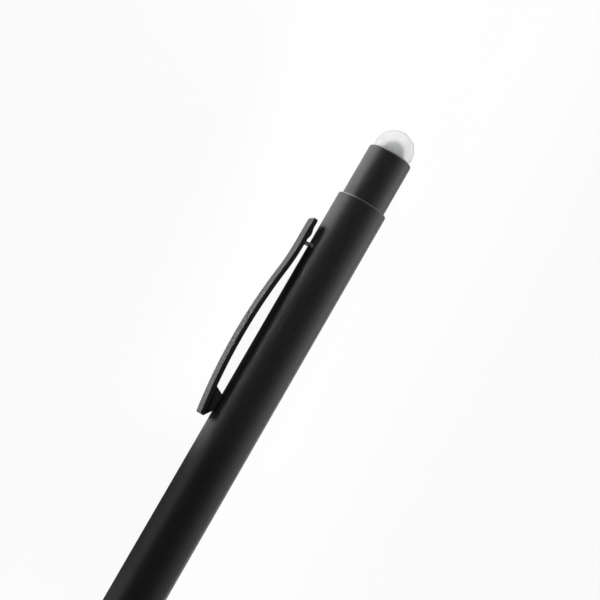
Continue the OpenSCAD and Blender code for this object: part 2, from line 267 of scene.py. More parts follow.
def threaded(before, after, root_r, depth, z0, z1, count=72):
    """Turned piece with a right-hand thread from z0 to z1, between the sections before and after it."""
    mesh = bmesh.new()
    angles = even_angles(count)
    rings = [circle_points(mesh, r, z, angles) for r, z in before]
    rows = round((z1 - z0) / THREAD_PITCH * THREAD_ROWS)
    for k in range(rows + 1):
        z = z0 + (z1 - z0) * k / rows
        fade = min(1, (z - z0) / THREAD_PITCH, (z1 - z) / THREAD_PITCH)
        ring = []
        for a in angles:
            phase = (z / THREAD_PITCH - a / (2 * math.pi)) % 1
            ridge = max(0.0, 1 - abs(phase - 0.5) / RIDGE_HALF)
            r = root_r + depth * fade * min(1.0, ridge * RIDGE_UNCUT)
            ring.append(mesh.verts.new((-r * math.sin(a), r * math.cos(a), z)))
        rings.append(ring)
    rings += [circle_points(mesh, r, z, angles) for r, z in after]
    skin(mesh, rings, True)
    return mesh


# Material helpers

NOISE_RANGE = (0.3, 0.7)
SMOOTH_DETAIL = 2.0
COOL_BLUE = 1.02


def surface(name, colour, rough, metallic=0.0, **sockets):
    """Principled material, its tree and its shader; other sockets are given as plain numbers."""
    material = bpy.data.materials.new(name)
    material.use_nodes = True
    tree = material.node_tree
    shader = tree.nodes["Principled BSDF"]
    shader.inputs["Base Color"].default_value = (*colour, 1)
    shader.inputs["Roughness"].default_value = rough
    shader.inputs["Metallic"].default_value = metallic
    for socket, value in sockets.items():
        shader.inputs[socket.replace("_", " ")].default_value = value
    material.diffuse_color = (*colour, 1)
    return material, tree, shader


def coordinates(tree, stretch=(1, 1, 1)):
    """Object coordinates in metres, stretched along the axes."""
    source = tree.nodes.new("ShaderNodeTexCoord")
    mapping = tree.nodes.new("ShaderNodeMapping")
    mapping.inputs["Scale"].default_value = stretch
    tree.links.new(source.outputs["Object"], mapping.inputs["Vector"])
    return mapping.outputs["Vector"]


def split(tree, source):
    """X, Y and Z of a kind of texture coordinates."""
    node = tree.nodes.new("ShaderNodeSeparateXYZ")
    coords = tree.nodes.new("ShaderNodeTexCoord")
    tree.links.new(coords.outputs[source], node.inputs[0])
    return node.outputs


def noise(tree, vector, size_mm, detail=3.0):
    node = tree.nodes.new("ShaderNodeTexNoise")
    node.inputs["Scale"].default_value = 1 / (size_mm * MM)
    node.inputs["Detail"].default_value = detail
    tree.links.new(vector, node.inputs["Vector"])
    return node.outputs["Fac"]


def ramp(tree, value, start, stop, low, high, shape="SMOOTHSTEP"):
    """Output that runs from low to high as value goes from start to stop."""
    node = tree.nodes.new("ShaderNodeMapRange")
    node.interpolation_type = shape
    node.inputs["From Min"].default_value = start
    node.inputs["From Max"].default_value = stop
    node.inputs["To Min"].default_value = low
    node.inputs["To Max"].default_value = high
    tree.links.new(value, node.inputs["Value"])
    return node.outputs["Result"]


def spread(tree, value, low, high):
    """Noise run out to low and high from the range that most of it lies in."""
    return ramp(tree, value, *NOISE_RANGE, low, high, "LINEAR")


def combine(tree, kind, first, *others):
    """Output of a chain of math nodes over values that are numbers or other nodes' outputs."""
    for other in others:
        node = tree.nodes.new("ShaderNodeMath")
        node.operation = kind
        for socket, value in zip(node.inputs, (first, other)):
            if isinstance(value, float):
                socket.default_value = value
            else:
                tree.links.new(value, socket)
        first = node.outputs[0]
    return first


def tint(tree, share, first, second):
    """Colour that goes from first, a plain colour or an output, to the plain colour second."""
    node = tree.nodes.new("ShaderNodeMix")
    node.data_type = "RGBA"
    tree.links.new(share, node.inputs["Factor"])
    if isinstance(first, tuple):
        node.inputs["A"].default_value = (*first, 1)
    else:
        tree.links.new(first, node.inputs["A"])
    node.inputs["B"].default_value = (*second, 1)
    return node.outputs["Result"]


def bump(tree, shader, height, strength, depth_mm):
    node = tree.nodes.new("ShaderNodeBump")
    node.inputs["Strength"].default_value = strength
    node.inputs["Distance"].default_value = depth_mm * MM
    tree.links.new(height, node.inputs["Height"])
    tree.links.new(node.outputs["Normal"], shader.inputs["Normal"])


def grey(level):
    """Slightly cool grey."""
    return (level, level, level * COOL_BLUE)


def shade(colour, factor):
    return tuple(min(1, c * factor) for c in colour)


# Finishes: sizes and depths are in millimetres, and the places of the rim's bare patches, which are partly
# wear and partly a painted glint, are along and across the table

LACQUER_TONE_SIZE = 9.0
LACQUER_TONES = (0.85, 1.15)
LACQUER_GRAIN_SIZE = 0.2
LACQUER_GLOSS_SWING = 0.05
# Bare patches on the rim's round, on the clip's side only: partly wear, partly a painted glint where the
# light catches the round
GLINT_WEAR_FADE = 0.05
GLINT_WEAR_SIDE = (1.8, 2.8)
GLINT_WEAR_PATCH_SIZE = 1.5
GLINT_WEAR_RANGE = (0.5, 0.95)
GLINT_WEAR_METAL = 0.8


def lacquer(name, level, rough, ior, grain_depth, glint_worn_x=None):
    """Satin black lacquer over blasted metal: fine grain, uneven gloss and slow changes of tone.

    Past the given place, in metres along the pen, the lacquer is rubbed through to bare metal in patches on
    the clip's side: partly wear, partly a painted glint where the light catches the rim's round.
    """
    material, tree, shader = surface(name, grey(level), rough, IOR=ior)
    vector = coordinates(tree)
    tone = noise(tree, vector, LACQUER_TONE_SIZE, SMOOTH_DETAIL)
    grain = noise(tree, vector, LACQUER_GRAIN_SIZE, SMOOTH_DETAIL)
    colour = tint(tree, spread(tree, tone, 0, 1), *(grey(level * share) for share in LACQUER_TONES))
    # Bare metal patches on the clip's side of the rim: partly wear, partly a painted glint
    if glint_worn_x is not None:
        place = split(tree, "Object")
        edge = ramp(tree, place["X"], glint_worn_x, glint_worn_x + GLINT_WEAR_FADE * MM, 0.0, 1.0)
        side = ramp(tree, place["Y"], GLINT_WEAR_SIDE[0] * MM, GLINT_WEAR_SIDE[1] * MM, 0.0, 1.0)
        patches = spread(tree, noise(tree, vector, GLINT_WEAR_PATCH_SIZE), *GLINT_WEAR_RANGE)
        wear_and_glint = combine(tree, "MULTIPLY", edge, side, patches)
        tree.links.new(wear_and_glint, shader.inputs["Metallic"])
        colour = tint(tree, wear_and_glint, colour, grey(GLINT_WEAR_METAL))
    gloss = spread(tree, grain, rough - LACQUER_GLOSS_SWING, rough + LACQUER_GLOSS_SWING)
    tree.links.new(colour, shader.inputs["Base Color"])
    tree.links.new(gloss, shader.inputs["Roughness"])
    bump(tree, shader, grain, strength=1.0, depth_mm=grain_depth)
    return material


MOULD_FLOW_SIZE = 2.0
MOULD_FLOW_STRETCH = (0.15, 1, 1)
MOULD_TONES = (0.9, 1.06)
MOULD_GRAIN_SIZE = 0.12
MOULD_GRAIN_DEPTH = 0.01
MOULD_GRAIN_STRENGTH = 0.3
MOULD_GLOSS_SWING = 0.08


def moulding(name, colour, rough=0.45):
    """Injection-moulded plastic: spark-eroded grain and slight flow marks along the part."""
    material, tree, shader = surface(name, colour, rough)
    flow = noise(tree, coordinates(tree, MOULD_FLOW_STRETCH), MOULD_FLOW_SIZE)
    grain = noise(tree, coordinates(tree), MOULD_GRAIN_SIZE, SMOOTH_DETAIL)
    tones = tint(tree, spread(tree, flow, 0, 1), *(shade(colour, share) for share in MOULD_TONES))
    gloss = spread(tree, grain, rough - MOULD_GLOSS_SWING, rough + MOULD_GLOSS_SWING)
    tree.links.new(tones, shader.inputs["Base Color"])
    tree.links.new(gloss, shader.inputs["Roughness"])
    bump(tree, shader, grain, MOULD_GRAIN_STRENGTH, MOULD_GRAIN_DEPTH)
    return material


METAL_CLOUD_SIZE = 3.0
METAL_TONES = (0.88, 1.06)
METAL_LINE_STRENGTH = 0.3
METAL_GLOSS = (-0.07, 0.09)
ALONG_LINES = (0.06, 1, 1)
ROUND_LINES = (1, 0.04, 0.04)
EVEN_LINES = (1, 1, 1)
SATIN_METALLIC = 0.8


def metal(name, colour, rough, stretch, line_size=0.08, line_depth=0.004, metallic=1.0):
    """Bare metal with fine machining lines; stretch sets the direction in which they run."""
    material, tree, shader = surface(name, colour, rough, metallic)
    lines = noise(tree, coordinates(tree, stretch), line_size)
    cloud = noise(tree, coordinates(tree), METAL_CLOUD_SIZE, SMOOTH_DETAIL)
    tones = tint(tree, spread(tree, cloud, 0, 1), *(shade(colour, share) for share in METAL_TONES))
    gloss = spread(tree, lines, *(rough + swing for swing in METAL_GLOSS))
    tree.links.new(tones, shader.inputs["Base Color"])
    tree.links.new(gloss, shader.inputs["Roughness"])
    bump(tree, shader, lines, METAL_LINE_STRENGTH, line_depth)
    return material


SILICONE_COLOUR = (0.98, 0.98, 0.97)
SILICONE_TONES = ((0.985, 0.985, 0.98), (1.0, 1.0, 1.0))
SILICONE_CLOUD_SIZE = 1.6
SILICONE_GRAIN_SIZE = 0.1
SILICONE_GRAIN_DEPTH = 0.006
SILICONE_GRAIN_STRENGTH = 0.15
SILICONE_ROUGH = 0.4
SILICONE_GLOSS_SWING = 0.04


def silicone(name):
    """Milky silicone rubber: frosted, and clear enough to show the post inside."""
    material, tree, shader = surface(
        name, SILICONE_COLOUR, SILICONE_ROUGH, Transmission_Weight=0.82, IOR=1.2, Specular_IOR_Level=0.2,
    )
    vector = coordinates(tree)
    cloud = noise(tree, vector, SILICONE_CLOUD_SIZE, SMOOTH_DETAIL)
    grain = noise(tree, vector, SILICONE_GRAIN_SIZE, SMOOTH_DETAIL)
    tones = tint(tree, spread(tree, cloud, 0, 1), *SILICONE_TONES)
    gloss = spread(tree, grain, SILICONE_ROUGH - SILICONE_GLOSS_SWING, SILICONE_ROUGH + SILICONE_GLOSS_SWING)
    tree.links.new(tones, shader.inputs["Base Color"])
    tree.links.new(gloss, shader.inputs["Roughness"])
    bump(tree, shader, grain, SILICONE_GRAIN_STRENGTH, SILICONE_GRAIN_DEPTH)
    return material


# Share of the rim's round that is rubbed bare, partly wear and partly a painted glint, and the place along
# the pen, in metres, where that starts
GLINT_WORN_SHARE = 0.75
GLINT_WORN_RIM_X = (RIM_Z - GLINT_WORN_SHARE * RIM_ROUND - TOTAL_LEN / 2) * MM

BODY_FINISH = {"level": 0.003, "rough": 0.395, "ior": 2.4, "grain_depth": 0.009}
LACQUER = lacquer("black_lacquer", **BODY_FINISH)
# The barrel's rim carries bare patches that paint a glint on the clip's side, as well as wear
BARREL_LACQUER = lacquer("barrel_lacquer", **BODY_FINISH, glint_worn_x=GLINT_WORN_RIM_X)
CLIP_LACQUER = lacquer("clip_lacquer", level=0.006, rough=0.37, ior=1.5, grain_depth=0.004)
STEEL = metal("spring_steel", (0.62, 0.62, 0.64), rough=0.24, stretch=ALONG_LINES)
SILICONE = silicone("silicone")
BRASS = metal("brass", (0.78, 0.57, 0.25), rough=0.27, stretch=ROUND_LINES, metallic=SATIN_METALLIC)
REFILL_METAL = metal(
    "refill_metal", (0.66, 0.66, 0.68), rough=0.3, stretch=ROUND_LINES, metallic=SATIN_METALLIC,
)
POINT_METAL = metal(
    "point_metal", (0.72, 0.68, 0.58), rough=0.22, stretch=ROUND_LINES, line_size=0.05,
    metallic=SATIN_METALLIC,
)
CARBIDE = metal(
    "ball_carbide", (0.5, 0.5, 0.52), rough=0.18, stretch=EVEN_LINES, line_size=0.05, line_depth=0.001,
)


# Barrel

JOINT_EDGE = 0.1
JOINT_EDGE_MID = 0.02
JOINT_EDGE_LEN = 0.15
BORE_EDGE = 0.05
EDGE_LOOP = 0.3
RIM_STEPS = 8
SLOT_SEGMENTS = 12
REST_SEGMENTS = 84


def eased_edge(z, way):
    """Outside points of an edge at the joint of barrel and nose cone, from its face at z along way."""
    return [
        (BARREL_R - JOINT_EDGE, z),
        (BARREL_R - JOINT_EDGE_MID, z + way * JOINT_EDGE_LEN / 2),
        (BARREL_R, z + way * JOINT_EDGE_LEN),
    ]


def barrel_mesh():
    """Tube with a rounded rim, an eased front edge and the slot that the clip's foot passes through."""

    def angles(r):
        half = math.asin(SLOT_W / 2 / r)
        slot = [-half + 2 * half * i / SLOT_SEGMENTS for i in range(SLOT_SEGMENTS)]
        rest = [half + (2 * math.pi - 2 * half) * i / REST_SEGMENTS for i in range(REST_SEGMENTS)]
        return slot + rest

    slot_low, slot_high = FOOT_Z - SLOT_H / 2, FOOT_Z + SLOT_H / 2
    outside_z = (
        NOSE_LEN + JOINT_EDGE_LEN + EDGE_LOOP, slot_low - EDGE_LOOP, slot_low,
        slot_high, slot_high + EDGE_LOOP, RIM_Z - RIM_ROUND - EDGE_LOOP,
    )
    inside_z = (
        RIM_Z - BORE_EDGE, RIM_Z - EDGE_LOOP, slot_high + EDGE_LOOP, slot_high,
        slot_low, slot_low - EDGE_LOOP, NOSE_LEN + EDGE_LOOP, NOSE_LEN + BORE_EDGE,
    )
    rim = arc((BARREL_R - RIM_ROUND, RIM_Z - RIM_ROUND), RIM_ROUND, 0, 90, RIM_STEPS)
    outer = eased_edge(NOSE_LEN, 1) + [(BARREL_R, z) for z in outside_z] + rim
    bore = [(BORE_R, z) for z in inside_z]
    inner = [(BORE_R + BORE_EDGE, RIM_Z), *bore, (BORE_R + BORE_EDGE, NOSE_LEN)]
    mesh = bmesh.new()
    out_rings = [circle_points(mesh, r, z, angles(BARREL_R)) for r, z in outer]
    in_rings = [circle_points(mesh, r, z, angles(BORE_R)) for r, z in inner]
    skin(mesh, out_rings + in_rings, True)

    out_low, out_high = (out_rings[outer.index((BARREL_R, z))] for z in (slot_low, slot_high))
    in_low, in_high = (in_rings[inner.index((BORE_R, z))] for z in (slot_low, slot_high))
    across = slice(SLOT_SEGMENTS + 1)
    windows = (set(out_low[across] + out_high[across]), set(in_low[across] + in_high[across]))
    gone = [face for face in mesh.faces if any(window.issuperset(face.verts) for window in windows)]
    bmesh.ops.delete(mesh, geom=gone, context="FACES")
    for i in range(SLOT_SEGMENTS):
        mesh.faces.new((out_low[i], out_low[i + 1], in_low[i + 1], in_low[i]))
        mesh.faces.new((out_high[i], in_high[i], in_high[i + 1], out_high[i + 1]))
    for i in (0, SLOT_SEGMENTS):
        mesh.faces.new((out_low[i], in_low[i], in_high[i], out_high[i]))
    return mesh


piece("barrel_tube", barrel_mesh(), "barrel", ["barrel"], BARREL_LACQUER)


# Thread bush

BUSH_THREAD = 0.32
BUSH_LEAD = 0.3
BUSH_MOUTH = 0.35
BUSH_EDGE = 0.1


def bush_mesh():
    """Bush with a threaded bore that opens at both ends, and an eased front edge."""
    end = NOSE_LEN + BUSH_LEN
    before = [
        (BUSH_R, end), (BUSH_R, NOSE_LEN + BUSH_EDGE), (BUSH_R - BUSH_EDGE, NOSE_LEN),
        (BUSH_BORE_R + BUSH_MOUTH, NOSE_LEN),
    ]
    after = [(BUSH_BORE_R + BUSH_LEAD, end)]
    return threaded(before, after, BUSH_BORE_R, BUSH_THREAD, NOSE_LEN + BUSH_LEAD, end - BUSH_LEAD)


piece("bush_threaded", bush_mesh(), "barrel", ["thread_bush"], BRASS, smooth_deg=60)


# Return spring

END_COIL_GAP = 0.03


def spring_mesh():
    """Round wire wound with closed end coils and an open pitch between them."""
    per_turn, sides = 36, 12
    closed_pitch = 2 * WIRE_R + END_COIL_GAP
    pitch = (SPRING_HIGH - SPRING_LOW - 2 * closed_pitch) / (COILS - 2)
    up = Vector((0, 0, 1))

    def height(turn):
        if turn < 1:
            return SPRING_LOW + closed_pitch * turn
        if turn > COILS - 1:
            return SPRING_HIGH - closed_pitch * (COILS - turn)
        return SPRING_LOW + closed_pitch + pitch * (turn - 1)

    mesh = bmesh.new()
    rings = []
    for k in range(COILS * per_turn + 1):
        turn = k / per_turn
        a = 2 * math.pi * turn
        centre = Vector((COIL_R * math.cos(a), COIL_R * math.sin(a), height(turn)))
        out = Vector((math.cos(a), math.sin(a), 0))
        wire = [centre + WIRE_R * (math.cos(b) * out + math.sin(b) * up) for b in even_angles(sides)]
        rings.append([mesh.verts.new(point) for point in wire])
    skin(mesh, rings, False)
    mesh.faces.new(rings[0])
    mesh.faces.new(rings[-1])
    return mesh


spring = piece(
    "spring_wire", spring_mesh(), "barrel", ["return_spring"], STEEL, smooth_deg=50,
)
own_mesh(spring)


# Nose cone with its screw spigot

JOINT_GAP = 0.02
CONE_STEPS = 40
HOLE_EDGE = 0.1
HOLE_EDGE_LEN = 0.15
SPIGOT_THREAD = 0.3
SPIGOT_RELIEF = 0.5
SPIGOT_THREAD_FROM = 0.7
SPIGOT_THREAD_TO = 0.35
SPIGOT_CHAMFER = 0.1
SPIGOT_CHAMFER_R = 0.06
SPIGOT_FACE_IN = 0.15


def nose_mesh():
    """Cone of one arc, drilled for point, spring and refill, with a threaded spigot behind it."""
    back, end = NOSE_LEN - JOINT_GAP, NOSE_LEN + SPIGOT_LEN
    rise = BARREL_R - NOSE_TIP_R
    ogive = (NOSE_LEN ** 2 + rise ** 2) / (2 * rise)
    root_r = SPIGOT_R - SPIGOT_THREAD

    def cone(z):
        return BARREL_R - ogive + math.sqrt(ogive ** 2 - (NOSE_LEN - z) ** 2)

    bore = [
        (root_r - SPIGOT_FACE_IN, end), (REFILL_WAY_R, end - SPIGOT_CHAMFER), (REFILL_WAY_R, REFILL_WAY_Z),
        (SPRING_BORE_R, REFILL_WAY_Z), (SPRING_BORE_R, SEAT_Z), (NOSE_HOLE_R, SEAT_Z),
        (NOSE_HOLE_R, HOLE_EDGE_LEN), (NOSE_HOLE_R + HOLE_EDGE, 0.0),
    ]
    run = back - JOINT_EDGE_LEN - NOSE_EDGE
    heights = [NOSE_EDGE + run * k / CONE_STEPS for k in range(CONE_STEPS + 1)]
    outside = [(NOSE_TIP_R - NOSE_EDGE, 0.0)] + [(cone(z), z) for z in heights]
    face_edge, mid_edge = eased_edge(back, -1)[:2]
    relief = [(root_r, back), (root_r, back + SPIGOT_RELIEF)]
    before = bore + outside + [mid_edge, face_edge] + relief
    after = [(root_r - SPIGOT_CHAMFER_R, end - SPIGOT_CHAMFER)]
    thread_low, thread_high = back + SPIGOT_THREAD_FROM, end - SPIGOT_THREAD_TO
    return threaded(before, after, root_r, SPIGOT_THREAD, thread_low, thread_high, count=96)


piece("nose_turned", nose_mesh(), "nose", ["nose_cone"], LACQUER)


# Clip with its beak

CLIP_BEND = 0.1
CLIP_EDGE = 0.28
CLIP_LIP = 0.06
CLIP_INNER_BEND = 0.12
CLIP_SIDE_LOOP = 0.05
CLIP_BACK_LOOP = 0.06
CLIP_ROWS = (0.8, 1.4, 1.9, CLIP_HALF_W)
BEND_STEPS = 6
INNER_BEND_STEPS = 3
BEAK_SINK = 0.1
BEAK_INSET = 0.02
BEAK_ROUND = 0.12
MERGE_WITHIN = 1e-5


def clip_back(u):
    """Height of the clip's back over the axis: flat at the foot, then a hollow arc and a crowned one."""
    rise, run = CLIP_PEAK_R - CLIP_STAND_R, CLIP_PEAK - CLIP_FLAT
    arcs = (run * run + rise * rise) / (2 * rise)
    crown = CROWN_SHARE * arcs
    hollow = arcs - crown
    if u > -CLIP_FLAT:
        return CLIP_STAND_R
    if u > -(CLIP_PEAK - CROWN_SHARE * run):
        return CLIP_STAND_R + hollow - math.sqrt(hollow ** 2 - (u + CLIP_FLAT) ** 2)
    return CLIP_PEAK_R - crown + math.sqrt(crown ** 2 - (u + CLIP_PEAK) ** 2)


def clip_side(u):
    """Height of the edges of the folded sides, which swell near the foot."""
    away = abs(u - BUMP_AT) / BUMP_HALF
    swell = BUMP_H * math.cos(math.pi / 2 * away) ** 2 if away < 1 else 0
    return clip_back(u) - CLIP_DEPTH - swell


def plan_ring(inset):
    """Outline of the clip seen from its back, drawn in by inset, as points (across, along)."""
    side_steps, corner_steps, end_steps = 120, 8, 4
    r = max(CLIP_CORNER - inset, 0.0)
    w = CLIP_HALF_W - inset - r
    low, high = CLIP_LOW + inset + r, CLIP_HIGH - inset - r
    points = [(w + r, low + (high - low) * k / side_steps) for k in range(side_steps)]
    points += arc((w, high), r, 0, 90, corner_steps)[:-1]
    points += [(w - 2 * w * k / end_steps, high + r) for k in range(end_steps)]
    points += arc((-w, high), r, 90, 180, corner_steps)[:-1]
    points += [(-w - r, high - (high - low) * k / side_steps) for k in range(side_steps)]
    points += arc((-w, low), r, 180, 270, corner_steps)[:-1]
    points += [(-w + 2 * w * k / end_steps, low - r) for k in range(end_steps)]
    points += arc((w, low), r, 270, 360, corner_steps)[:-1]
    return points


def clip_mesh():
    """Pressed channel: rounded bend, folded sides with eased edges, hollow underside."""
    mesh = bmesh.new()

    def ring(inset, base, lift=0.0):
        return [mesh.verts.new((x, base(u) + lift, FOOT_Z + u)) for x, u in plan_ring(inset)]

    def round_ring(a):
        return ring(CLIP_EDGE * (1 - math.sin(a)), clip_side, CLIP_EDGE * (1 - math.cos(a)))

    def bend_ring(a):
        return ring(CLIP_BEND * (1 - math.cos(a)), clip_back, -CLIP_BEND * (1 - math.sin(a)))

    def inner_ring(a):
        inset = CLIP_SHEET + CLIP_INNER_BEND * (1 - math.cos(a))
        return ring(inset, clip_back, -CLIP_SHEET - CLIP_INNER_BEND * (1 - math.sin(a)))

    outside = [round_ring(a) for a in quarter_turn(BEND_STEPS)]
    outside.append(ring(0, clip_side, CLIP_EDGE + CLIP_SIDE_LOOP))
    outside.append(ring(0, clip_back, -CLIP_BEND - CLIP_SIDE_LOOP))
    outside += [bend_ring(a) for a in quarter_turn(BEND_STEPS)]
    outside += [ring(inset, clip_back) for inset in (CLIP_BEND + CLIP_BACK_LOOP, *CLIP_ROWS)]
    under = [ring(CLIP_EDGE, clip_side), ring(CLIP_SHEET - CLIP_LIP, clip_side)]
    under.append(ring(CLIP_SHEET, clip_side, CLIP_LIP))
    under += [inner_ring(a) for a in quarter_turn(INNER_BEND_STEPS)]
    under += [ring(inset, clip_back, -CLIP_SHEET) for inset in CLIP_ROWS]
    skin(mesh, outside, False)
    skin(mesh, under, False)
    bmesh.ops.remove_doubles(mesh, verts=mesh.verts, dist=MERGE_WITHIN)
    bmesh.ops.dissolve_degenerate(mesh, edges=mesh.edges, dist=MERGE_WITHIN)
    add_beak(mesh)
    return mesh


def add_beak(mesh):
    """Wedge under the clip's end, with eased edges, that bears on the barrel."""
    top = CLIP_LOW + BEAK_FROM
    tip = CLIP_LOW + BEAK_INSET
    outline = [
        (top, clip_back(top) - CLIP_SHEET + BEAK_SINK),
        (top - BEAK_LEAD, BEAK_R),
        (top - BEAK_LEAD - BEAK_PAD, BEAK_R),
        (tip, clip_side(CLIP_LOW) + BEAK_INSET),
        (tip, clip_back(CLIP_LOW) - CLIP_SHEET + BEAK_SINK),
    ]
    near = [mesh.verts.new((-BEAK_HALF_W, y, FOOT_Z + u)) for u, y in outline]
    far = [mesh.verts.new((BEAK_HALF_W, y, FOOT_Z + u)) for u, y in outline]
    sides = [mesh.faces.new(near), mesh.faces.new(far)]
    for i in range(len(outline)):
        j = (i + 1) % len(outline)
        sides.append(mesh.faces.new((near[i], near[j], far[j], far[i])))
    edges = list({edge for face in sides for edge in face.edges})
    bmesh.ops.bevel(
        mesh, geom=edges, offset=BEAK_ROUND, segments=3, profile=0.5, affect="EDGES", clamp_overlap=True,
    )


piece("clip_pressed", clip_mesh(), "clip", ["clip"], CLIP_LACQUER)


# Clip's foot

FOOT_BEND = 0.45
FOOT_EDGE = 0.05
FOOT_BEND_STEPS = 8
BEAD_STEPS = 20


def foot_mesh():
    """Leg bent from one strip: a bead inside the barrel, a straight web and a tongue under the clip."""
    half, half_w = FOOT_T / 2, FOOT_W / 2
    top = CLIP_STAND_R - CLIP_SHEET - half
    bend = arc((top - FOOT_BEND, FOOT_BEND), FOOT_BEND, -90, 0, FOOT_BEND_STEPS)
    centre = [(BEAD_Y, 0.0), *bend, (top, FOOT_TONGUE - half)]
    left, right = [], []
    for i, (y, z) in enumerate(centre):
        y0, z0 = centre[max(i - 1, 0)]
        y1, z1 = centre[min(i + 1, len(centre) - 1)]
        d = Vector((y1 - y0, z1 - z0)).normalized()
        left.append((y - d.y * half, z + d.x * half))
        right.append((y + d.y * half, z - d.x * half))
    start = math.degrees(math.asin(half / BEAD_R))
    bead = arc((BEAD_Y, 0.0), BEAD_R, start, 360 - start, BEAD_STEPS)
    outline = bead + right[1:] + left[:0:-1]
    mesh = bmesh.new()
    sections = []
    for x, inset in (
        (-half_w, FOOT_EDGE), (-half_w + FOOT_EDGE, 0), (half_w - FOOT_EDGE, 0), (half_w, FOOT_EDGE),
    ):
        sections.append([mesh.verts.new((x, y, FOOT_Z + z)) for y, z in inset_outline(outline, inset)])
    skin(mesh, sections, False)
    mesh.faces.new(sections[0])
    mesh.faces.new(sections[-1])
    return mesh


piece("clip_leg", foot_mesh(), "clip", ["clip_foot"], STEEL, smooth_deg=40)


# Button

BUTTON_BORE_EDGE = 0.05
BUTTON_EDGE = 0.08
LIP_ROUND = 0.1
LIP_GAP = 0.02


def button_mesh():
    """Cup with a rounded top edge and a lip round the dome's neck."""
    lip_r = DOME_NECK_R + LIP_GAP
    return turned(rounded([
        (BUTTON_BORE_R, BUTTON_Z, BUTTON_BORE_EDGE), (BUTTON_R, BUTTON_Z, BUTTON_EDGE),
        (BUTTON_R, BUTTON_TOP_Z, BUTTON_ROUND), (lip_r, BUTTON_TOP_Z, LIP_ROUND),
        (lip_r, LIP_Z), (BUTTON_BORE_R, LIP_Z),
    ], steps=6))


piece("button_cup", button_mesh(), "button", ["button_sleeve"], LACQUER)


# Stylus dome

FLANGE_GAP = 0.02
FLANGE_EDGE = 0.05
FLANGE_UNDER_EDGE = 0.03


def dome_mesh():
    """Hollow dome with a flange that the button's lip holds."""
    flange_r, flange_low, flange_high = BUTTON_BORE_R - FLANGE_GAP, LIP_Z - FLANGE_T, LIP_Z - FLANGE_GAP
    hollow_r, bore_r = DOME_R - DOME_WALL, DOME_NECK_R - DOME_WALL
    seat_deg = math.degrees(math.asin((BUTTON_TOP_Z - DOME_Z) / DOME_R))
    bore_deg = math.degrees(math.acos(bore_r / hollow_r))
    flange = [
        (flange_r - FLANGE_UNDER_EDGE, flange_low), (flange_r, flange_low + FLANGE_EDGE),
        (flange_r, flange_high - FLANGE_EDGE), (flange_r - FLANGE_EDGE, flange_high),
    ]
    neck = [(DOME_NECK_R, flange_high), (DOME_NECK_R, BUTTON_TOP_Z)]
    outside = arc((0, DOME_Z), DOME_R, seat_deg, 90, steps=36)
    inside = arc((0, DOME_Z), hollow_r, 90, -bore_deg, steps=28)
    bore = [(bore_r, flange_low + FLANGE_EDGE), (bore_r + FLANGE_EDGE, flange_low)]
    return turned(flange + neck + outside + inside + bore)


piece("dome_silicone", dome_mesh(), "button", ["stylus_dome"], SILICONE)


# Refill tube

NECK_ROUND = 0.06
NECK_FILLET = 0.25
SHOULDER_FRONT_ROUND = 0.2
SHOULDER_ROUND = 0.5
CRIMP_BACK = 1.2
CRIMP_HALF = 0.5
CRIMP_FLOOR_HALF = 0.25
CRIMP_DEPTH = 0.1
CRIMP_EDGE = 0.2
CRIMP_ROUND = 0.1
TUBE_END_ROUND = 0.05


def refill_mesh():
    """Drawn tube with a narrow neck, a chamfered shoulder and a crimp ring near its back end."""
    crimp_z, crimp_r = TUBE_END_Z - CRIMP_BACK, REFILL_R - CRIMP_DEPTH
    step_z = SHOULDER_Z + REFILL_WALL
    outside = [
        (NECK_R, NECK_Z, NECK_ROUND),
        (NECK_R, SHOULDER_Z, NECK_FILLET),
        (REFILL_R - SHOULDER_CHAMFER, SHOULDER_Z, SHOULDER_FRONT_ROUND),
        (REFILL_R, SHOULDER_Z + SHOULDER_CHAMFER, SHOULDER_ROUND),
        (REFILL_R, crimp_z - CRIMP_HALF, CRIMP_EDGE),
        (crimp_r, crimp_z - CRIMP_FLOOR_HALF, CRIMP_ROUND),
        (crimp_r, crimp_z + CRIMP_FLOOR_HALF, CRIMP_ROUND),
        (REFILL_R, crimp_z + CRIMP_HALF, CRIMP_EDGE),
        (REFILL_R, TUBE_END_Z, TUBE_END_ROUND),
    ]
    inside = [
        (REFILL_BORE_R, TUBE_END_Z), (REFILL_BORE_R, step_z + SHOULDER_CHAMFER),
        (REFILL_BORE_R - SHOULDER_CHAMFER, step_z), (NECK_BORE_R, step_z),
    ]
    return turned(rounded([(NECK_BORE_R, NECK_Z)] + outside + inside))


piece("refill_drawn", refill_mesh(), "refill", ["refill_tube"], REFILL_METAL)


# Refill point and writing ball

SOCKET_GAP = 0.02
CHANNEL_R = 0.3
POINT_LIP = (0.03, 0.04)
LAND_LEN = 0.35
LAND_STEP_FROM = 0.4
LAND_STEP_TO = 0.42
LAND_STEP = 0.02
CONE_EDGE = 0.02
CONE_EDGE_LEN = 0.05
GROOVE_AT = 0.4
GROOVE_DEPTH = 0.08
GROOVE_W = 0.12
COLLAR_EDGE = 0.03
SHANK_GAP = 0.02


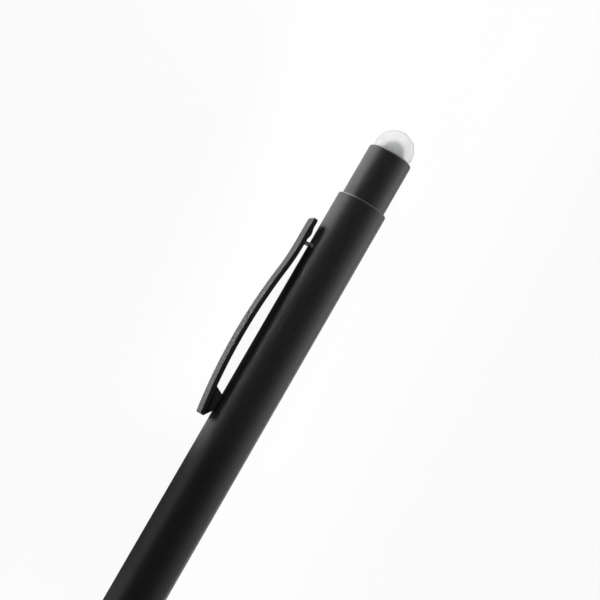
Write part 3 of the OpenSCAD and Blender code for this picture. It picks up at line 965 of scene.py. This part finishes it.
def point_mesh():
    """Turned point: crimped lip round the ball, cone, collar with a groove, shank with an ink channel."""
    cone_z = POINT_FRONT_Z + POINT_CONE
    collar_z = cone_z + POINT_COLLAR
    shank_z = collar_z + POINT_SHANK
    shank_r = NECK_BORE_R - SHANK_GAP
    socket_r = BALL_R + SOCKET_GAP
    lip_deg = math.degrees(math.asin((POINT_FRONT_Z - BALL_Z) / socket_r))
    floor_deg = math.degrees(math.acos(CHANNEL_R / socket_r))
    socket = arc((0, BALL_Z), socket_r, floor_deg, lip_deg, steps=12)
    slope = (NECK_R - POINT_FRONT_R) / POINT_CONE
    cone = [
        (POINT_FRONT_R - POINT_LIP[0], POINT_FRONT_Z),
        (POINT_FRONT_R, POINT_FRONT_Z + POINT_LIP[1]),
        (POINT_FRONT_R + LAND_LEN * slope, POINT_FRONT_Z + LAND_LEN),
        (POINT_FRONT_R + LAND_STEP_FROM * slope + LAND_STEP, POINT_FRONT_Z + LAND_STEP_TO),
        (NECK_R - CONE_EDGE, cone_z - CONE_EDGE),
        (NECK_R, cone_z + CONE_EDGE_LEN),
    ]
    groove_z, groove_r = cone_z + GROOVE_AT, NECK_R - GROOVE_DEPTH
    collar = [
        (NECK_R, groove_z),
        (groove_r, groove_z + GROOVE_DEPTH),
        (groove_r, groove_z + GROOVE_DEPTH + GROOVE_W),
        (NECK_R, groove_z + 2 * GROOVE_DEPTH + GROOVE_W),
        (NECK_R, collar_z - COLLAR_EDGE),
        (NECK_R - COLLAR_EDGE, collar_z),
    ]
    shank = [(shank_r, collar_z), (shank_r, shank_z), (CHANNEL_R, shank_z)]
    return turned(socket + cone + collar + shank, count=64)


def ball_mesh():
    return turned(arc((0, BALL_Z), BALL_R, -90, 90, steps=32), count=48, closed=False)


piece("point_turned", point_mesh(), "refill", ["refill_point"], POINT_METAL)
piece("ball_ground", ball_mesh(), "ball", ["writing_ball"], CARBIDE)


# Nodes that keep their CAD shape

DARK_GREY = (0.2, 0.21, 0.23)

for node, material in (
    ("cam_housing", moulding("white_moulding", (0.78, 0.76, 0.7))),
    ("dome_holder", moulding("grey_moulding_holder", DARK_GREY)),
    ("thrust_stem", moulding("grey_moulding", DARK_GREY)),
    ("rotor", moulding("rotor_moulding", (0.55, 0.56, 0.58))),
    ("refill_end_cap", moulding("cap_plastic", (0.03, 0.03, 0.035), rough=0.4)),
    ("ink", moulding("ink_paste", (0.01, 0.012, 0.03), rough=0.2)),
):
    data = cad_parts[node].data
    data.materials.clear()
    data.materials.append(material)


# Camera: the photograph's view of the barrel's rim and axis; places in the picture are in pixels

IMAGE_PX = 600
FOCAL_PX = 1495.0
RIM_PX = (362.3, 205.1)
PEN_LEAN = math.radians(60)
CAMERA_DISTANCE = 281.0
CAMERA_TILT = math.radians(10)
CAMERA_TURN = math.radians(13)
NEAR_LIMIT = 10.0
SENSOR_W = 36


def view_direction():
    """Direction from the rim to the camera: tilted to the writing end and turned to the clip."""
    along, to_clip, to_viewer = (PEN.to_3x3() @ Vector(axis) for axis in ((0, 0, 1), (0, 1, 0), (-1, 0, 0)))
    across = math.cos(CAMERA_TURN) * to_viewer + math.sin(CAMERA_TURN) * to_clip
    return math.cos(CAMERA_TILT) * across - math.sin(CAMERA_TILT) * along


def basis(first, second):
    """Axes square to each other: first itself, one square to first and second, and the one left over."""
    normal = first.cross(second).normalized()
    return Matrix((first, normal, first.cross(normal))).transposed()


def place_camera():
    """Camera that puts the rim's centre at its pixel and the axis at its lean in the picture."""
    view = view_direction()
    along = PEN.to_3x3() @ Vector((0, 0, 1))
    rim = PEN @ Vector((0, 0, RIM_Z * MM))
    off_x, off_y = ((px - IMAGE_PX / 2) / FOCAL_PX for px in RIM_PX)
    ray = Vector((off_x, -off_y, -1)).normalized()
    line = Vector((math.cos(PEN_LEAN), math.sin(PEN_LEAN), 0))
    to_world = basis(-view, along) @ basis(ray, line).transposed()
    data = bpy.data.cameras.new("photo_camera")
    data.sensor_width = SENSOR_W
    data.lens = FOCAL_PX / IMAGE_PX * SENSOR_W
    data.clip_start = NEAR_LIMIT * MM
    camera = bpy.data.objects.new("photo_camera", data)
    bpy.context.scene.collection.objects.link(camera)
    camera.matrix_world = Matrix.Translation(rim + CAMERA_DISTANCE * MM * view) @ to_world.to_4x4()
    bpy.context.scene.camera = camera


place_camera()


# Floor, in metres, and world: levels are shares of white, and ramps run over parts of a unit direction

FLOOR_HALF = 1.5
FLOOR_ROWS = 24
FLOOR_DROP = 0.00005
PAPER = (0.9, 0.9, 0.9)
FLOOR_WHITE = 0.95
GLOSS_SHARE = 0.02

FAR_SIDE = 1.0
FAR_ACROSS = (0.25, -0.5)
FAR_HEIGHT = (1.06, 0.0)
FAR_ALONG = (-0.2, 0.2)
OVERHEAD = 0.034
NEAR_SIDE = 0.12
NEAR_ACROSS = (0.8, 1.0)
NEAR_ALONG = (-0.06, 0.2)
STYLUS_END = 0.8
STYLUS_ALONG = (0.4, 0.9)
STYLUS_ACROSS = (-0.5, 0.4)
STYLUS_FAR_SHARE = 0.25
NOSE_END = 0.3
NOSE_ALONG = (-0.4, -0.9)


def seen_plainly(tree):
    """Level of plain white for rays from the camera and through the dome, 0 for the rest."""
    path = tree.nodes.new("ShaderNodeLightPath")
    from_camera = combine(tree, "MULTIPLY", path.outputs["Is Camera Ray"], FLOOR_WHITE)
    return combine(tree, "MAXIMUM", from_camera, path.outputs["Is Transmission Ray"])


def floor_material():
    """White paper that the camera sees evenly lit, with a trace of the pen's shadow."""
    material = bpy.data.materials.new("floor_paper")
    material.use_nodes = True
    tree = material.node_tree
    tree.nodes.remove(tree.nodes["Principled BSDF"])
    paper = tree.nodes.new("ShaderNodeBsdfDiffuse")
    paper.inputs["Color"].default_value = (*PAPER, 1)
    white = tree.nodes.new("ShaderNodeEmission")
    path = tree.nodes.new("ShaderNodeLightPath")
    in_gloss = combine(tree, "MULTIPLY", path.outputs["Is Glossy Ray"], GLOSS_SHARE)
    mix = tree.nodes.new("ShaderNodeMixShader")
    tree.links.new(combine(tree, "ADD", seen_plainly(tree), in_gloss), mix.inputs["Fac"])
    tree.links.new(paper.outputs["BSDF"], mix.inputs[1])
    tree.links.new(white.outputs["Emission"], mix.inputs[2])
    tree.links.new(mix.outputs["Shader"], tree.nodes["Material Output"].inputs["Surface"])
    return material


def make_floor():
    mesh = bmesh.new()
    bmesh.ops.create_grid(mesh, x_segments=FLOOR_ROWS, y_segments=FLOOR_ROWS, size=FLOOR_HALF)
    data = bpy.data.meshes.new("floor")
    mesh.to_mesh(data)
    mesh.free()
    data.materials.append(floor_material())
    floor = bpy.data.objects.new("floor", data)
    floor.location.z = -FLOOR_DROP
    bpy.context.scene.collection.objects.link(floor)


def make_world():
    """Soft surround: bright low on the far side and past the stylus end, dim at the nose, dark overhead."""
    world = bpy.data.worlds.new("studio")
    bpy.context.scene.world = world
    world.use_nodes = True
    tree = world.node_tree
    way = split(tree, "Generated")
    far = combine(
        tree, "MULTIPLY",
        ramp(tree, way["Y"], *FAR_ACROSS, 0.0, FAR_SIDE),
        ramp(tree, way["Z"], *FAR_HEIGHT, 0.0, 1.0, "LINEAR"),
        ramp(tree, way["X"], *FAR_ALONG, 0.0, 1.0),
    )
    near = combine(
        tree, "MULTIPLY",
        ramp(tree, way["Y"], *NEAR_ACROSS, OVERHEAD, NEAR_SIDE),
        ramp(tree, way["X"], *NEAR_ALONG, 0.0, 1.0),
    )
    stylus = combine(
        tree, "MULTIPLY",
        ramp(tree, way["X"], *STYLUS_ALONG, 0.0, STYLUS_END),
        ramp(tree, way["Y"], *STYLUS_ACROSS, STYLUS_FAR_SHARE, 1.0),
    )
    nose = ramp(tree, way["X"], *NOSE_ALONG, 0.0, NOSE_END)
    level = combine(tree, "ADD", far, near, stylus, nose)
    level = combine(tree, "MAXIMUM", level, seen_plainly(tree))
    tree.links.new(level, tree.nodes["Background"].inputs["Color"])


make_floor()
make_world()


# Lamps: narrow beams on the floor beside the pen, which the lacquer reflects, and one on the dome

def softbox(name, place, target, size, spread_deg, watts, twist_deg=0.0):
    """Rectangular lamp in metres, aimed at a target, that reflections and the camera don't show."""
    data = bpy.data.lights.new(name, "AREA")
    data.shape = "RECTANGLE"
    data.size, data.size_y = size
    data.spread = math.radians(spread_deg)
    data.energy = watts
    lamp = bpy.data.objects.new(name, data)
    bpy.context.scene.collection.objects.link(lamp)
    place, target = Vector(place), Vector(target)
    aim = (target - place).to_track_quat("-Z", "Y").to_matrix().to_4x4()
    twist = Matrix.Rotation(math.radians(twist_deg), 4, "Z")
    lamp.matrix_world = Matrix.Translation(place) @ aim @ twist
    lamp.visible_glossy = lamp.visible_transmission = lamp.visible_camera = False


softbox(
    "key", place=(0.1125, 0.2122, 0.19), target=(0.1125, 0.0162, 0), size=(0.221, 0.02),
    spread_deg=3.6, watts=0.017, twist_deg=5.5,
)
softbox(
    "end_fill", place=(0.16, 0.16, 0.2), target=(0.1, 0.035, 0), size=(0.03, 0.03),
    spread_deg=20, watts=0.008,
)
softbox(
    "dome_snoot", place=(0.16, 0.16, 0.2), target=(0.067, -0.002, 0.005), size=(0.006, 0.006),
    spread_deg=3, watts=0.00015,
)
softbox(
    "far_fill", place=(0, -0.25, 0.15), target=(0, -0.02, 0), size=(0.3, 0.02),
    spread_deg=6, watts=0.024,
)
softbox(
    "nose_fill", place=(-0.095, 0.2, 0.19), target=(-0.095, 0.004, 0), size=(0.1, 0.02),
    spread_deg=11, watts=0.008,
)

bpy.context.scene.view_settings.view_transform = "Standard"
